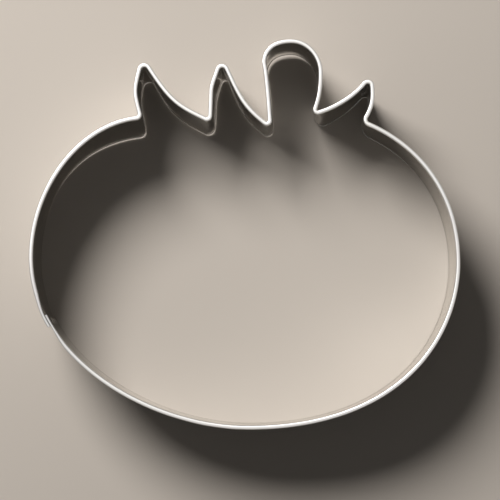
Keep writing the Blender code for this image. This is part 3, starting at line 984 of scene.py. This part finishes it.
def strip_steel():
    """Bright rolled sheet, with fine lines along the strip, scratches, smudges, dull bends and heat tint.

    The roll and the leg are rougher, and lighter in colour; the lighter colour is a painted highlight. Near
    the lap they are greyer, which is painted shade.
    """
    material, tree, shader = new_material("strip_steel")
    flat = add(tree, "ShaderNodeUVMap", {"uv_map": "Strip"}).outputs["UV"]
    place = add(tree, "ShaderNodeTexCoord").outputs["Object"]
    rolling = noise_at(tree, scaled(tree, flat, ROLLING_SCALE), detail=3.0, roughness=0.6)
    smudge = noise_at(tree, place, SMUDGE_SCALE, detail=3.0, roughness=0.55)
    long, crossing = scratched(tree, flat, LONG_SCRATCHES), scratched(tree, flat, CROSS_SCRATCHES)
    marks = math(tree, "MAXIMUM", long, crossing)
    dull = dull_bends(tree, flat)
    up_the_sheet = add(tree, "ShaderNodeSeparateXYZ", Vector=flat).outputs["Y"]
    roll_look = Ramp(STRIP_HEIGHT - ROLL_LOOK_FROM, STRIP_HEIGHT - ROLL_LOOK_TO, 0.0, 1.0)
    on_roll = ranged(tree, up_the_sheet, roll_look)

    tree.links.new(strip_colour(tree, place, smudge, marks, dull, on_roll), shader.inputs["Base Color"])
    shader.inputs["Metallic"].default_value = 1.0
    shader.inputs["Specular Tint"].default_value = GRAZING_COLOUR
    tree.links.new(strip_roughness(tree, rolling, smudge, marks, dull, on_roll), shader.inputs["Roughness"])
    lines = bumped(tree, ROLLING_BUMP, rolling)
    cuts = bumped(tree, SCRATCH_BUMP, marks, {"invert": True}, Normal=lines)
    tree.links.new(cuts, shader.inputs["Normal"])
    return material


def weld_steel():
    """The weld's pitted, heat-darkened face."""
    material, tree, shader = new_material("weld_steel")
    place = add(tree, "ShaderNodeTexCoord").outputs["Object"]
    pits = noise_at(tree, place, PIT_SCALE, detail=3.0, roughness=0.65)
    stain = noise_at(tree, place, STAIN_SCALE)
    colour = mixed(tree, ranged(tree, stain, STAIN_TINT), WELD_COLOUR, STAIN_COLOUR)
    colour = mixed(tree, ranged(tree, pits, PIT_TINT), colour, PIT_COLOUR)
    tree.links.new(colour, shader.inputs["Base Color"])
    shader.inputs["Metallic"].default_value = 1.0
    tree.links.new(ranged(tree, pits, PIT_ROUGHNESS), shader.inputs["Roughness"])
    tree.links.new(bumped(tree, PIT_BUMP, pits), shader.inputs["Normal"])
    return material


def floor_paint():
    material, _, shader = new_material("pale_floor")
    shader.inputs["Base Color"].default_value = (*FLOOR_COLOUR, 1.0)
    shader.inputs["Roughness"].default_value = FLOOR_ROUGHNESS
    return material


# The studio


def floor():
    mesh = bmesh.new()
    bmesh.ops.create_grid(mesh, x_segments=1, y_segments=1, size=FLOOR_WIDTH / 2)
    finished("floor", mesh, floor_paint())


def key_light():
    """One soft light, in the direction that the shadow of the rim gives."""
    toward = Vector((-SHADOW_RIGHT, SHADOW_DOWN, STRIP_HEIGHT)).normalized()
    lamp = bpy.data.lights.new("key", "AREA")
    lamp.shape = "DISK"
    lamp.size = KEY_WIDTH
    lamp.energy = KEY_POWER
    lamp.color = KEY_COLOUR
    thing = bpy.data.objects.new("key", lamp)
    thing.location = toward * KEY_DISTANCE
    thing.rotation_euler = toward.to_track_quat("Z", "Y").to_euler()
    bpy.context.scene.collection.objects.link(thing)


def surroundings():
    """A pale room, brighter overhead. It fills the shadows softly, and the eye and the metal see it."""
    world = bpy.data.worlds.new("room")
    bpy.context.scene.world = world
    world.use_nodes = True
    tree = world.node_tree
    path = add(tree, "ShaderNodeLightPath")
    seen = math(tree, "MAXIMUM", path.outputs["Is Camera Ray"], path.outputs["Is Glossy Ray"])
    seen = math(tree, "MAXIMUM", seen, path.outputs["Is Transmission Ray"])
    # What the metal mirrors onto the floor is left out, so that the fill alone lights the floor
    seen = math(tree, "SUBTRACT", seen, path.outputs["Diffuse Depth"])
    seen = math(tree, "MAXIMUM", seen, 0.0)
    background = tree.nodes["Background"]
    background.inputs["Color"].default_value = (*BACKDROP_COLOUR, 1.0)
    sight = add(tree, "ShaderNodeTexCoord").outputs["Generated"]
    rise = add(tree, "ShaderNodeSeparateXYZ", Vector=sight).outputs["Z"]
    pale = ranged(tree, rise, Ramp(CEILING_FROM, CEILING_TO, HORIZON_STRENGTH, CEILING_STRENGTH))
    strength = times(tree, seen, math(tree, "SUBTRACT", pale, FILL_STRENGTH))
    tree.links.new(math(tree, "ADD", strength, FILL_STRENGTH), background.inputs["Strength"])


def camera():
    """Almost straight above, with the point below the camera at its own pixel."""
    half = PICTURE_SIZE / 2
    down = Vector((BELOW_PIXEL[0] - half, BELOW_PIXEL[1] - half, FOCAL_PIXELS)).normalized()
    # The world's axes, seen by the camera: x to the right, y down and z forward in the picture
    world_x = Vector((1.0, 0.0, 0.0))
    world_x = (world_x - down * world_x.dot(down)).normalized()
    world_z = -down
    world_y = world_z.cross(world_x)
    right = Vector((world_x[0], world_y[0], world_z[0]))
    up = -Vector((world_x[1], world_y[1], world_z[1]))
    back = -Vector((world_x[2], world_y[2], world_z[2]))
    lens = bpy.data.cameras.new("camera")
    lens.sensor_width = SENSOR_WIDTH
    lens.lens = FOCAL_PIXELS / PICTURE_SIZE * SENSOR_WIDTH
    thing = bpy.data.objects.new("camera", lens)
    turn = Matrix((right, up, back)).transposed().to_4x4()
    thing.matrix_world = Matrix.Translation((*CAMERA_OVER, CAMERA_HEIGHT)) @ turn
    bpy.context.scene.collection.objects.link(thing)
    bpy.context.scene.camera = thing


def main():
    bpy.context.scene.view_settings.view_transform = "Standard"
    camera()
    floor()
    key_light()
    surroundings()
    strip = cutter_strip()
    cut_weld_holes(strip)
    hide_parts("formed_strip")
    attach(strip, "root")
    for node in WELD_NODES:
        weld = spot_weld(node)
        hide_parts(node)
        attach(weld, "root")


main()
